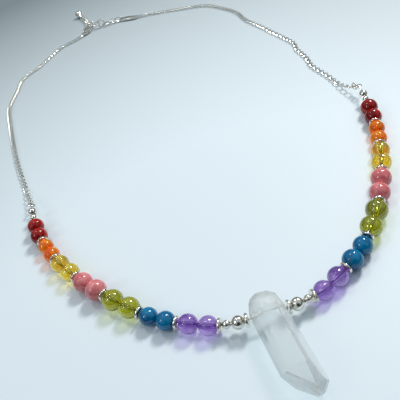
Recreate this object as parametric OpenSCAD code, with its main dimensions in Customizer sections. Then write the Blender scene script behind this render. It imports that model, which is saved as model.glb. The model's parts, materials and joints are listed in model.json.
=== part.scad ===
// Chakra necklace lying on a table: a quartz point and twenty-eight round stones strung on a wire,
// closed by a twisted curb chain with a lobster clasp and an extender.
// The table is z = 0, the pendant points toward -Y and the clasp lies toward +Y.

/* [Stones] */
// Diameter of the hole drilled through each stone
stone_bore_d = 1.1; // [1:0.05:1.2]
// Play between neighbours on the string
string_play = 0.1; // [0.05:0.05:0.15]
// Thickness of the wire that they are strung on
wire_d = 0.4; // [0.3:0.05:0.45]

/* [Quartz point] */
// Length from the hole to the tip
quartz_tip = 23.6; // [22:0.1:25]
// Height of the flat top face over the table
quartz_h = 8.4; // [8:0.1:9]
// Width across the left and right sides
quartz_w = 9.0; // [8.6:0.1:9.4]
// Diameter of the hole drilled from side to side
quartz_bore_d = 1.3; // [1.1:0.1:1.5]

/* [Silver beads] */
// Diameter of the large bead beside the quartz point
large_d = 3.8; // [3.6:0.1:4]
// Diameter of the small bead next to it
small_d = 2.4; // [2.2:0.1:2.6]
// Diameter of the discs between the stones
rondelle_d = 4.0; // [3.6:0.1:4.2]
// Thickness of these discs
rondelle_t = 0.9; // [0.8:0.1:1.1]
// Diameter of the ball outside the last stone
spacer_d = 2.5; // [2.3:0.1:2.7]
// Diameter of the cover over the crimped end of the wire
cover_d = 3.2; // [3:0.1:3.4]
// Wall of this cover
cover_wall = 0.3; // [0.25:0.05:0.35]

/* [Chain] */
// Half length of a link, to the middle of its wire
link_a = 2.0; // [1.98:0.01:2.02]
// Half width of a link, to the middle of its wire
link_b = 0.95; // [0.94:0.01:1]
// Thickness of the wire of a link
link_d = 0.5; // [0.4:0.05:0.5]
// Distance from one link to the next
link_pitch = 3.05; // [3:0.01:3.05]

/* [Clasp] */
// Thickness of the clasp's body round the pin
clasp_t = 2.5; // [2.4:0.1:2.6]
// Thickness of the hook and of the lever
hook_d = 0.9; // [0.8:0.1:0.9]
// Diameter of the pin that the lever turns on
pin_d = 0.7; // [0.6:0.1:0.8]
// Play round the pin and beside the lever
pin_play = 0.12; // [0.1:0.01:0.15]

/* [Hidden] */
SILVER = "silver";
UP = [0, 0, 1];
FINE = 48;

// Stones, from the pendant outward: colour name, diameter of the left inner, left outer, right inner
// and right outer bead of the pair, and colour
STONE_NAME = 0;
STONE_D = [[1, 2], [3, 4]];
STONE_COLOUR = 5;
stones = [
    ["violet", 5.6, 5.7, 5.5, 5.8, "mediumpurple"],
    ["blue", 5.6, 5.4, 6.0, 5.6, "steelblue"],
    ["green", 6.4, 6.5, 6.6, 6.7, "olivedrab"],
    ["pink", 6.6, 6.2, 6.4, 6.5, "palevioletred"],
    ["yellow", 6.2, 6.1, 6.4, 6.1, "gold"],
    ["orange", 5.4, 5.3, 5.6, 5.6, "darkorange"],
    ["red", 6.0, 5.9, 6.0, 6.2, "firebrick"]
];

// The two halves of the string, seen from above, from the hole in the quartz point to the wire's end
quartz_at = [10, -128];
string_route = [
    [
        quartz_at, [4, -127.8], [-1.5, -126.5], [-6.3, -124.6], [-11.8, -121.8], [-17, -118.8],
        [-22, -115], [-26.6, -110.5], [-31.3, -105.7], [-36, -100], [-40.3, -94.6], [-44.4, -88.7],
        [-48, -83], [-51, -77], [-53.4, -71.5], [-55.7, -65.7], [-57.1, -59.8], [-57.9, -53.5],
        [-58.6, -47.5], [-59.4, -42]
    ],
    [
        quartz_at, [16, -128], [20.5, -127.2], [25.3, -125.9], [30.7, -123.3], [36.1, -120],
        [41.3, -116], [46, -111.4], [50.5, -106], [54.6, -99.8], [58.2, -93.7], [61.5, -87.5],
        [64.2, -81.6], [66.7, -75.5], [68.8, -69.8], [70.8, -63.5], [72.3, -57.4], [73.5, -50.5],
        [74.3, -46], [75.2, -40]
    ]
];
SIDES = ["left", "right"];
LEFT = 0;
RIGHT = 1;

// Heights of the wire over the table in the quartz point and at the crimp covers
quartz_hole_z = quartz_h / 2;
cover_z = 4.3;

// Routes of the two chains after their first rings, seen from above, from the bead ends to the clasp
chain_route = [
    [
        [-60, -43.8], [-61.6, -39], [-63.2, -33], [-65.7, -23], [-69.1, -8], [-72.4, 11], [-74.6, 26],
        [-76.3, 37.5], [-76.8, 46], [-75.8, 54], [-74.2, 61], [-73, 70], [-71.1, 76.3], [-67.5, 80.3],
        [-63.7, 83.5], [-60.3, 87.2], [-56.5, 92.8], [-49.1, 102], [-44, 105.4], [-38.5, 107.4]
    ],
    [
        [72.2, -37], [71.3, -32.5], [70.8, -28], [70.2, -23], [69.2, -18], [67.9, -11], [68.6, -4.5],
        [68.4, 1.5], [67.9, 7.5], [68.7, 12.7], [67.9, 18.5], [64.9, 29.5], [61.2, 43], [57.7, 54],
        [56.5, 60.5], [56.1, 67], [53.9, 74.5], [49.4, 83.7], [43.8, 92.6], [36.9, 97.5],
        [27.8, 101.5], [16.2, 106.8], [7, 110]
    ]
];

// Small mathematics
function unit(v) = v / norm(v);
function flat(v) = [v.x, v.y, 0];
function turn_left(v) = [-v.y, v.x, 0];
function heading(v) = atan2(v.y, v.x);
function along(angle) = [cos(angle), sin(angle), 0];
function clamp(i, last) = max(0, min(last, i));
function sum_to(list, n, i = 0) = i >= n ? 0 : list[i] + sum_to(list, n, i + 1);
function reversed(list) = [for (i = [len(list) - 1:-1:0]) list[i]];

// A smooth curve through a list of points, and tables of it over the distance along it
function between(a, b, c, d, t) =
    b + (c - a) * t / 2
    + (2 * a - 5 * b + 4 * c - d) * t * t / 2
    + (3 * b - a - 3 * c + d) * t * t * t / 2;
function smooth(p, steps) = [
    for (i = [0:len(p) - 2]) for (k = [0:steps - 1])
        between(p[clamp(i - 1, len(p) - 1)], p[i], p[i + 1], p[clamp(i + 2, len(p) - 1)], k / steps),
    p[len(p) - 1]
];
function distances(p) = [
    for (i = 0, s = 0; i < len(p); s = s + (i + 1 < len(p) ? norm(p[i + 1] - p[i]) : 0), i = i + 1) s
];
function tables(p) =
    let (s = distances(p))
    [for (k = [0:len(p[0]) - 1]) [for (i = [0:len(p) - 1]) [s[i], p[i][k]]]];
function at(table, s) = [for (column = table) lookup(s, column)];
function length_of(table) = table[0][len(table[0]) - 1][0];

ROUTE_STEPS = 4;
string_table = [for (route = string_route) tables(smooth(route, ROUTE_STEPS))];

// What is strung on each side, from the quartz point outward: name, length along the wire, diameter
PART_NAME = 0;
PART_T = 1;
PART_D = 2;
RONDELLE = ["rondelle", rondelle_t, rondelle_d];
function strung(side) = [
    RONDELLE,
    ["large_silver_bead", large_d, large_d],
    ["small_silver_bead", small_d, small_d],
    for (row = stones) each [
        RONDELLE,
        for (i = [0, 1]) [
            str(row[STONE_NAME], "_bead"), row[STONE_D[side][i]], row[STONE_D[side][i]]
        ]
    ],
    ["spacer_bead", spacer_d, spacer_d],
    ["crimp_cover", cover_d, cover_d]
];
parts_of = [for (side = [LEFT, RIGHT]) strung(side)];
last_part = len(parts_of[LEFT]) - 1;
quartz_half_bore = [quartz_w / 2 + 0.8, quartz_w / 2 + 0.45];
function place_along(side, i) =
    let (t = [for (part = parts_of[side]) part[PART_T] + string_play])
    quartz_half_bore[side] + string_play + sum_to(t, i) + parts_of[side][i][PART_T] / 2;
places = [for (side = [LEFT, RIGHT]) [for (i = [0:last_part]) place_along(side, i)]];

// Every stone rests on the table, and the silver between them hangs on the wire
function is_stone(side, i) = parts_of[side][i][PART_T] > large_d;
height_table = [
    for (side = [LEFT, RIGHT]) [
        [0, quartz_hole_z],
        [quartz_half_bore[side], quartz_hole_z],
        for (i = [0:last_part])
            if (is_stone(side, i)) [places[side][i], parts_of[side][i][PART_D] / 2],
        [places[side][last_part], cover_z]
    ]
];
function string_point(side, s) =
    let (p = at(string_table[side], s))
    [p.x, p.y, lookup(s, height_table[side])];
DIRECTION_REACH = 1.2;
function string_direction(side, s) =
    unit(string_point(side, s + DIRECTION_REACH) - string_point(side, s - DIRECTION_REACH));

// The wire runs straight through the middle of each stone and bends between them
function wire_points(side) = [
    for (i = [0:last_part])
        let (
            half = is_stone(side, i) ? parts_of[side][i][PART_T] / 4 : 0,
            p = string_point(side, places[side][i]),
            v = string_direction(side, places[side][i])
        )
        each half > 0 ? [p - v * half, p + v * half] : [p]
];

// The wire's end loops, which leave the crimp covers and come back into them
loop_r = 1.1;
loop_roll = [-40, 72];
loop_drop = [0.4, -0.3];
loop_reach = [cover_d / 2 + 2.2, cover_d / 2 + 3.2];
loop_start = 0.3;
strand_offset = 0.5;
cover_at = [for (side = [LEFT, RIGHT]) string_point(side, places[side][last_part])];
end_direction = [
    for (side = [LEFT, RIGHT]) unit(flat(string_direction(side, places[side][last_part])))
];
loop_at = [
    for (side = [LEFT, RIGHT])
        cover_at[side] + end_direction[side] * loop_reach[side] - UP * loop_drop[side]
];
function loop_side(side) =
    turn_left(end_direction[side]) * cos(loop_roll[side]) + UP * sin(loop_roll[side]);
function loop_path(side) = [
    cover_at[side] + loop_side(side) * strand_offset + end_direction[side] * loop_start,
    cover_at[side] + loop_side(side) * strand_offset + end_direction[side] * cover_d / 2,
    for (a = [120:-24:-144])
        loop_at[side] + (end_direction[side] * cos(a) + loop_side(side) * sin(a)) * loop_r,
    cover_at[side] + end_direction[side] * cover_d / 2
];
wire_route = concat(
    loop_path(LEFT),
    reversed(wire_points(LEFT)),
    [[quartz_at.x, quartz_at.y, quartz_hole_z]],
    wire_points(RIGHT),
    reversed(loop_path(RIGHT))
);

// Rings: radius to the middle of the wire and thickness of the wire
RADIUS = 0;
WIRE = 1;
small_ring = [1.25, 0.6];
end_ring = [2.15, 0.7];
link_play = 0.17;

// Rings at the bead ends: each is hooked into the loop or ring before it, and lies along a direction
hook_step = loop_r - wire_d / 2 - link_play - small_ring[WIRE] / 2;
ring_left_roll = 41;
ring_left_v = unit(along(107) - UP * 0.18);
ring_left_at = loop_at[LEFT] + ring_left_v * (hook_step + small_ring[RADIUS]);
ring_right_1_v = unit(end_direction[RIGHT] + along(100) - UP * 0.6);
ring_right_1_at =
    loop_at[RIGHT] + ring_right_1_v * (hook_step + small_ring[RADIUS]) + UP * 0.12;
ring_right_2_v = unit(along(115) - UP * 0.35);
ring_right_2_at =
    ring_right_1_at + ring_right_2_v * (2 * small_ring[RADIUS] - small_ring[WIRE] - link_play);

// The clasp lies flat on the table, with its tail at clasp_at, and a ring stands in its eye
clasp_at = [-32.5, 110.4, 1.35];
clasp_heading = 67.4;
clasp_eye = [1.3, 0, 0];
clasp_eye_r = 1.35;
clasp_eye_hole_r = 0.65;
clasp_eye_t = 0.7;
ring_clasp_heading = 36;
ring_clasp_roll = -77;
ring_clasp_rise = 0.2;
ring_clasp_at =
    clasp_at + along(clasp_heading) * clasp_eye.x
    - along(ring_clasp_heading) * (small_ring[RADIUS] + 0.08) + UP * ring_clasp_rise;
clasp_head = [8.8, 0, 0];
clasp_head_r = 2.75;
clasp_mouth_angle = -57;
clasp_pivot = [4.2, -1.2, 0];
clasp_neck_t = 0.9;
clasp_neck_outline = [[2, -0.45], [2, 0.45], [3.2, 1], [3.6, 0]];
CLASP_SIDES = 12;
// The hook, from the body round to its blunt end: route and thickness
function head_point(a) = clasp_head + along(a) * clasp_head_r;
hook_route = concat(
    [[3.4, 1.4, 0], [4.6, 2.05, 0], [5.8, 2.45, 0], [7.3, 2.7, 0]],
    [for (a = [90:-21:clasp_mouth_angle]) head_point(a)],
    [for (a = [5, 8.5, 10]) head_point(clasp_mouth_angle - a)]
);
hook_ds = concat([for (i = [0:11]) hook_d], [0.82, 0.55, 0.2]);
lever_d = 0.8;
lever_hub_d = 1.8;
lever_t = 1.0;
lever_bar = [
    [4.75, -1.4, 0], [5.6, -1.75, 0], [6.6, -2.05, 0], [7.5, -2.1, 0], [8.4, -2, 0], [9.2, -1.72, 0],
    [9.75, -1.45, 0], [9.95, -1.35, 0], [10.05, -1.3, 0]
];
lever_bar_ds = concat([for (i = [0:6]) lever_d], [0.6, 0.25]);
lever_thumb = [[4.05, -1.7, 0], [3.85, -2.35, 0], [3.7, -2.8, 0], [3.65, -2.95, 0]];
lever_thumb_ds = [lever_d, lever_d, lever_d, 0.4];

// The long tab in the right chain
connector_at = [-3.6, 113.4, 1.05];
connector_heading = 156.7;
connector_l = 12.6;
connector_w = 3.3;
connector_t = 1.2;
connector_edge_t = 0.5;
connector_hole_d = 1.6;
connector_hole_x = connector_l / 2 - 1.6;

// Links: half length, half width and wire, the twist of their ends and the fullness of their outline
A = 0;
B = 1;
D = 2;
link = [link_a, link_b, link_d];
big_link = [2.5, 1.4, 0.6];
LINK_STATIONS = 10;
WIRE_SIDES = 5;
LINK_TWIST = 50;
LINK_FULLNESS = 0.65;
function reach_of(kind) = kind[A] * cos(180 / LINK_STATIONS);

// Ring at the start of the extender, and where on it the links from the tab are hooked
ring_extender_at = [-21.2, 116.05, 2.55];
ring_extender_turn = [-12, 0, 82];
ring_extender_hook = [-19.65, 115.85];

// Links of the extender, from its ring to the end charm: place, heading, slope and roll.
// The third is the one in the clasp's hook.
PLACE = 0;
TURN = 1;
extender = [
    [[-24.3, 117.1, 3.2], [158, -8, -5]],
    [[-27.5, 118.8, 3.1], [150, 15, -29]],
    [[-29.1, 121.2, 1.9], [119, 24, 96]],
    [[-29.95, 124.9, 1.68], [92, 0, 60]],
    [[-30.3, 128.6, 1.4], [90, 0, 25]],
    [[-30.8, 132, 1.05], [100, 0, 0]],
    [[-31.8, 135.4, 1.05], [106, 0, 0]],
    [[-33, 138.7, 1.05], [108, 0, 0]]
];

// End charm: a silver drop with an eye, which lies on the table
charm_r = 2.3;
charm_l = 4.2;
charm_eye_ring = [1.0, 0.6];
charm_eye_x = 5.0;
charm_eye_z = 1.3;
charm_eye_at = [-33.85, 141.2, charm_eye_z];
charm_heading = 106;
charm_slope = asin((charm_r - charm_eye_z) / charm_eye_x);

// The chains: ring centres or tab hole at both ends, and the smooth table between them
ring_inset = small_ring[RADIUS] - small_ring[WIRE] / 2 - link_d / 2 - link_play;
hook_inset = -(end_ring[WIRE] + big_link[D]) / 2 - link_play;
tab_hole = [for (way = [-1, 1]) connector_at + along(connector_heading) * connector_hole_x * way];
function line_table(start, route, end) =
    tables(smooth(concat([[start.x, start.y]], route, [[end.x, end.y]]), ROUTE_STEPS));
LEFT_CHAIN = 0;
RIGHT_CHAIN = 1;
TAB_CHAIN = 2;
chain_table = [
    line_table(ring_left_at, chain_route[LEFT], ring_clasp_at),
    line_table(ring_right_2_at, chain_route[RIGHT], tab_hole[0]),
    line_table(tab_hole[1], [[-14, 116.2]], ring_extender_hook)
];
chain_kind = [link, link, big_link];
chain_pitch = [link_pitch, link_pitch, 3.95];
chain_inset = [[ring_inset, ring_inset], [ring_inset, 0], [0, hook_inset]];
// Heights of a chain over the distance from its start, and over the distance back from its end
lying_z = 0.72;
chain_start_z = [
    [[0, ring_left_at.z], [4, 2.9], [9, 1.8], [14, 1], [19, lying_z]],
    [[0, ring_right_2_at.z], [3, 2.5], [7, 1.6], [11, 1], [14, lying_z]],
    [[0, 1.2], [2.4, 1.57], [4, 1.65]]
];
chain_end_z = [
    [[12, lying_z], [6, 0.9], [2.5, 1.2], [0, ring_clasp_at.z]],
    [[14, lying_z], [7, 1], [2.5, 1.1], [0, connector_at.z]],
    [[2.5, 1.5], [0, 1.5]]
];
// Turn of the links about their length, over the same distances, where they meet a ring or the tab
chain_start_roll = [[[0, 0]], [[1, 50], [14, 0]], [[0, -40]]];
chain_end_roll = [[[11, 0], [2, -25]], [[13, 0], [2, 42]], [[9, -40], [2, 0]]];
function over_length(i, start, end) =
    concat(start, [for (row = end) [length_of(chain_table[i]) - row[0], row[1]]]);
function chain_height(i, s) = lookup(s, over_length(i, chain_start_z[i], chain_end_z[i]));
function chain_roll(i, s) = lookup(s, over_length(i, chain_start_roll[i], chain_end_roll[i]));
function chain_point(i, s) = let (p = at(chain_table[i], s)) [p.x, p.y, chain_height(i, s)];
function chain_places(i) =
    let (
        reach = reach_of(chain_kind[i]),
        first = chain_inset[i][0] + reach,
        last = length_of(chain_table[i]) - chain_inset[i][1] - reach,
        steps = ceil((last - first) / chain_pitch[i])
    )
    [for (k = [0:steps]) first + (last - first) * k / steps];

// The lay's middle, which is put over the origin
middle = [-0.9, -1.63, 0];

// Places something whose own +X is turned to a heading, then sloped down and rolled about itself
module put(at, turn) translate(at - middle) rotate([turn[2], turn[1], turn[0]]) children();
module put_facing(at, v, roll = 0) put(at, [heading(v), -asin(unit(v).z), roll]) children();
module crosswise() rotate([0, 90, 0]) children();

// A tube through a row of points, with a round of points at each, of one diameter or a list of them
function round_of(p, t, across, r, sides) =
    let (u = unit(cross(across, t)), w = cross(t, u))
    [for (k = [0:sides - 1]) p + (u * cos(360 * k / sides) + w * sin(360 * k / sides)) * r];
function skin(rows, sides, closed) = [
    for (i = [0:closed ? rows - 1 : rows - 2]) for (k = [0:sides - 1])
        let (j = (i + 1) % rows, m = (k + 1) % sides)
        [i * sides + k, j * sides + k, j * sides + m, i * sides + m]
];
module tube(route, d, sides) {
    n = len(route);
    rounds = [
        for (i = [0:n - 1])
            let (t = unit(route[min(i + 1, n - 1)] - route[max(i - 1, 0)]))
            each round_of(route[i], t, UP, (is_list(d) ? d[i] : d) / 2, sides)
    ];
    caps = [[for (k = [0:sides - 1]) k], [for (k = [sides - 1:-1:0]) (n - 1) * sides + k]];
    polyhedron(rounds, concat(skin(n, sides, false), caps), convexity = 6);
}

// One twisted link: an oval of wire whose ends are turned opposite ways about its length
module twisted_link(kind) {
    n = LINK_STATIONS;
    angles = [for (i = [0:n - 1]) 360 * (i + 0.5) / n];
    twists = [for (u = angles) LINK_TWIST * cos(u)];
    line = [
        for (i = [0:n - 1])
            let (y = kind[B] * sign(sin(angles[i])) * pow(abs(sin(angles[i])), LINK_FULLNESS))
            [kind[A] * cos(angles[i]), y * cos(twists[i]), y * sin(twists[i])]
    ];
    rounds = [
        for (i = [0:n - 1])
            let (t = unit(line[(i + 1) % n] - line[(i + n - 1) % n]))
            each round_of(line[i], t, [0, -sin(twists[i]), cos(twists[i])], kind[D] / 2, WIRE_SIDES)
    ];
    polyhedron(rounds, skin(n, WIRE_SIDES, true), convexity = 4);
}

module links_along(i) {
    reach = reach_of(chain_kind[i]);
    for (s = chain_places(i)) {
        v = chain_point(i, s + reach) - chain_point(i, s - reach);
        put_facing(chain_point(i, s), v, chain_roll(i, s)) twisted_link(chain_kind[i]);
    }
}

module ring(kind)
    rotate_extrude($fn = FINE) translate([kind[RADIUS], 0]) circle(d = kind[WIRE], $fn = FINE);

module drilled_ball(d, bore) crosswise() rotate_extrude($fn = FINE) difference() {
    circle(d = d, $fn = FINE);
    translate([bore / 2 - d, -d]) square([d, 2 * d]);
}

// Quartz point: flat growth faces of a six-sided prism and of its slanting tip, and a rough dome on top.
// A face has its turn about the length, its lean toward the tip and its distance from the middle.
FACE_TURN = 0;
FACE_LEAN = 1;
FACE_OUT = 2;
quartz_heading = -83.4;
quartz_faces = [
    [0, 0, quartz_h / 2],
    [180, 0, quartz_h / 2],
    [62, 0, quartz_w / 2 - 0.2],
    [118, 0, quartz_w / 2 - 0.4],
    [-72, 0, quartz_w / 2 - 0.1],
    [-122, 0, quartz_w / 2 - 0.2],
    [-90, 44, 15.2],
    [-6, 22, 10.6],
    [-12, 50, 19.9],
    [10, 72, 22.6],
    [90, 62, 22.3],
    [180, 80, quartz_tip]
];
dome_r = 5;
dome_x = -1.95;
LARGE = 100;
module quartz_faces_cut()
    intersection_for(face = quartz_faces)
        rotate([-face[FACE_TURN], 0, 0]) rotate([0, face[FACE_LEAN], 0])
            translate([-LARGE / 2, -LARGE / 2, face[FACE_OUT] - LARGE]) cube(LARGE);
module quartz_point() color("ghostwhite")
    put([quartz_at.x, quartz_at.y, quartz_h / 2], [quartz_heading, 0, 0])
        difference() {
            intersection() {
                quartz_faces_cut();
                translate([dome_x, 0, 0]) {
                    sphere(r = dome_r, $fn = FINE);
                    translate([0, -LARGE / 2, -LARGE / 2]) cube(LARGE);
                }
            }
            rotate([0, 0, -quartz_heading]) crosswise()
                cylinder(d = quartz_bore_d, h = LARGE, center = true, $fn = FINE);
        }

// String
module bead_wire() color(SILVER) translate(-middle) tube(wire_route, wire_d, 8);

module strung_part(side, i)
    put_facing(string_point(side, places[side][i]), string_direction(side, places[side][i]))
        children();
function index_of(side, name) =
    [for (i = [0:last_part]) if (parts_of[side][i][PART_NAME] == name) i];

module stone_bead(row, side, i) color(row[STONE_COLOUR])
    strung_part(side, index_of(side, str(row[STONE_NAME], "_bead"))[i])
        drilled_ball(row[STONE_D[side][i]], stone_bore_d);

module large_silver_bead(side) color(SILVER)
    strung_part(side, index_of(side, "large_silver_bead")[0]) drilled_ball(large_d, stone_bore_d);

module small_silver_bead(side) color(SILVER)
    strung_part(side, index_of(side, "small_silver_bead")[0]) drilled_ball(small_d, stone_bore_d);

module spacer_bead(side) color(SILVER)
    strung_part(side, index_of(side, "spacer_bead")[0]) drilled_ball(spacer_d, stone_bore_d);

// A disc with a rounded edge, drilled through
module rondelle() crosswise() rotate_extrude($fn = FINE) {
    translate([stone_bore_d / 2, -rondelle_t / 2])
        square([(rondelle_d - rondelle_t - stone_bore_d) / 2, rondelle_t]);
    translate([(rondelle_d - rondelle_t) / 2, 0]) circle(d = rondelle_t, $fn = FINE);
}
module rondelles(side) color(SILVER)
    for (i = index_of(side, "rondelle")) strung_part(side, i) rondelle();

cover_hole_d = 1.9;
module crimp_cover(side) color(SILVER) strung_part(side, last_part)
    crosswise() rotate_extrude($fn = FINE) difference() {
        circle(d = cover_d, $fn = FINE);
        circle(d = cover_d - 2 * cover_wall, $fn = FINE);
        translate([cover_hole_d / 2 - cover_d, -cover_d]) square([cover_d, 2 * cover_d]);
    }

// Rings and chains
module jump_ring_left() color(SILVER)
    put_facing(ring_left_at, ring_left_v, ring_left_roll) ring(small_ring);
module jump_ring_right_1() color(SILVER)
    put_facing(ring_right_1_at, ring_right_1_v) ring(small_ring);
module jump_ring_right_2() color(SILVER)
    put_facing(ring_right_2_at, ring_right_2_v, 90) ring(small_ring);
module jump_ring_clasp() color(SILVER)
    put(ring_clasp_at, [ring_clasp_heading, 0, ring_clasp_roll]) ring(small_ring);
module jump_ring_extender() color(SILVER)
    put(ring_extender_at, ring_extender_turn) ring(end_ring);
module chain_left() color(SILVER) links_along(LEFT_CHAIN);
module chain_right() color(SILVER) links_along(RIGHT_CHAIN);
module connector_chain() color(SILVER) links_along(TAB_CHAIN);
module extender_chain() color(SILVER)
    for (row = extender) put(row[PLACE], row[TURN]) twisted_link(big_link);

// The tab: a thin flat strip with round ends, and a domed middle
tab_dome_l = connector_l - 5.4;
tab_dome_w = connector_w - 0.3;
tab_dome_d = 4.4;
module tab_outline(l, w) {
    square([l - w, w], center = true);
    for (way = [-1, 1]) translate([way * (l - w) / 2, 0]) circle(d = w, $fn = FINE);
}
module tab_dome() intersection() {
    linear_extrude(connector_t, center = true) tab_outline(tab_dome_l, tab_dome_w);
    crosswise() cylinder(d = tab_dome_d, h = connector_l, center = true, $fn = FINE);
}
module connector() color(SILVER) put(connector_at, [connector_heading, 0, 0]) difference() {
    union() {
        linear_extrude(connector_edge_t, center = true) tab_outline(connector_l, connector_w);
        tab_dome();
    }
    for (way = [-1, 1]) translate([way * connector_hole_x, 0, 0])
        cylinder(d = connector_hole_d, h = connector_t + 1, center = true, $fn = FINE);
}

// The drop: a ball and a cone that touches it all round
charm_tip_r = 0.35;
charm_tip_x = charm_eye_x - charm_l + 0.2;
charm_touch_x = charm_eye_x - charm_r * charm_r / charm_l;
charm_touch_r = charm_r * sqrt(1 - pow(charm_r / charm_l, 2));
charm_eye_roll = -60;
module end_charm() color(SILVER) put(charm_eye_at, [charm_heading, -charm_slope, 0]) {
    rotate([charm_eye_roll, 0, 0]) ring(charm_eye_ring);
    translate([charm_eye_x, 0, 0]) sphere(r = charm_r, $fn = FINE);
    translate([charm_tip_x, 0, 0]) crosswise()
        cylinder(r1 = charm_tip_r, r2 = charm_touch_r, h = charm_touch_x - charm_tip_x, $fn = FINE);
}

// Lobster clasp, drawn with its tail at its origin, its head toward +X and the lever on the -Y side
module clasp_block_outline() {
    translate(clasp_pivot) circle(r = 1.1, $fn = FINE);
    translate([3.5, 1.3]) circle(r = 0.8, $fn = FINE);
    translate([2.7, 0]) circle(r = 0.6, $fn = FINE);
    polygon([[5.2, -0.9], [4.2, 1.5], [2.85, 1.7], [2.2, 0.3], [2.35, -0.45], [3.55, -2]]);
}
module clasp_body() color(SILVER) put(clasp_at, [clasp_heading, 0, 0]) {
    translate(clasp_eye) linear_extrude(clasp_eye_t, center = true) difference() {
        circle(clasp_eye_r, $fn = FINE);
        circle(clasp_eye_hole_r, $fn = FINE);
    }
    linear_extrude(clasp_neck_t, center = true) polygon(clasp_neck_outline);
    tube(hook_route, hook_ds, CLASP_SIDES);
    difference() {
        linear_extrude(clasp_t, center = true) clasp_block_outline();
        translate([2.9, -4, -lever_t / 2 - pin_play]) cube([6, 3.8, lever_t + 2 * pin_play]);
    }
    translate(clasp_pivot) cylinder(d = pin_d, h = clasp_t - 0.2, center = true, $fn = FINE);
}
module clasp_lever() color(SILVER) put(clasp_at, [clasp_heading, 0, 0]) {
    translate(clasp_pivot) linear_extrude(lever_t, center = true) difference() {
        circle(d = lever_hub_d, $fn = FINE);
        circle(d = pin_d + 2 * pin_play, $fn = FINE);
    }
    tube(lever_bar, lever_bar_ds, CLASP_SIDES);
    tube(lever_thumb, lever_thumb_ds, CLASP_SIDES);
}

quartz_point();
bead_wire();
for (side = [LEFT, RIGHT]) {
    end = str("_", SIDES[side]);
    large_silver_bead(side);
    small_silver_bead(side);
    rondelles(side);
    spacer_bead(side);
    crimp_cover(side);
    for (row = stones)
        for (i = [0, 1])
            stone_bead(row, side, i);
}
jump_ring_left();
jump_ring_right_1();
jump_ring_right_2();
chain_left();
chain_right();
connector();
connector_chain();
jump_ring_clasp();
clasp_body();
clasp_lever();
jump_ring_extender();
extender_chain();
end_charm();
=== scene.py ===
"""Looks for a chakra necklace that lies on a pale table. Everything is in metres, in the model's frame."""

from __future__ import annotations

import json
import logging
import math
from dataclasses import dataclass
from enum import Enum
from typing import Sequence

import bmesh
import bpy
import numpy as np
from mathutils import Matrix, Quaternion, Vector

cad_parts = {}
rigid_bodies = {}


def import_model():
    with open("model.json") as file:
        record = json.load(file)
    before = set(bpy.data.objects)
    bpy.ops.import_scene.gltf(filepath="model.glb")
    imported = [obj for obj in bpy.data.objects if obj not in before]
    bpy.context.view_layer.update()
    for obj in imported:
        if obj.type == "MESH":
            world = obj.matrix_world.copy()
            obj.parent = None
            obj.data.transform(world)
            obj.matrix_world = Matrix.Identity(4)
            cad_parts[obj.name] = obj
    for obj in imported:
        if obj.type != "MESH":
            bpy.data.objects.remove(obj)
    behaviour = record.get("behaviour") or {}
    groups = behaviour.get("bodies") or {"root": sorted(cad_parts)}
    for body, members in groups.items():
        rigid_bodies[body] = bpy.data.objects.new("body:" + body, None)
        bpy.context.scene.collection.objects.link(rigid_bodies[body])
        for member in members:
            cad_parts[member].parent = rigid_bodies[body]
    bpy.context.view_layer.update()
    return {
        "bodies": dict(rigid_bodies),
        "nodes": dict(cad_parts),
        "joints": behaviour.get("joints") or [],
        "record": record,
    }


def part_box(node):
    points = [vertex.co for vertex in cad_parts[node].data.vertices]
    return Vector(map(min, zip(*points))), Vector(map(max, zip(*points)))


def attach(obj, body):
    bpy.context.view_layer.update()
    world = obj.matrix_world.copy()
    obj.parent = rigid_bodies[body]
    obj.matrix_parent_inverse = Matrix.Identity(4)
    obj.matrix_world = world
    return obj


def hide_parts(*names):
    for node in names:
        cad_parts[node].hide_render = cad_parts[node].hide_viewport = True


LOG = logging.getLogger("chakra_necklace")

MM = 0.001
BODY = "necklace"
LEVER_BODY = "lever"

CAMERA_PLACE = Vector((3.4, -202.37, 114.64)) * MM
LAMP_AIM = Vector((0, -0.03, 0))
QUARTZ_HOLE = Vector((10.9, -126.37, 4.2)) * MM
QUARTZ_HEADING = math.radians(-83.4)
BEAD_BORE = 1.1 * MM
MERGE = 1e-7
CAD_MERGE = 2e-6
GOLDEN_ANGLE = math.radians(137.5)
ROUNDING = {"segments": 2, "affect": "EDGES", "clamp_overlap": True}

Pair = tuple[float, float]
Triple = tuple[float, float, float]
Colour = Triple
Place = tuple[Vector, Quaternion]


class Side(Enum):
    """The two halves of the string."""

    LEFT = "left"
    RIGHT = "right"


class Stone(Enum):
    """The kinds of round stone, from the quartz point outward."""

    VIOLET = "violet"
    BLUE = "blue"
    GREEN = "green"
    PINK = "pink"
    YELLOW = "yellow"
    ORANGE = "orange"
    RED = "red"


# ---- Shader building ----


MIX_COLOURS = (6, 7)
MIX_RESULT = 2


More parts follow.
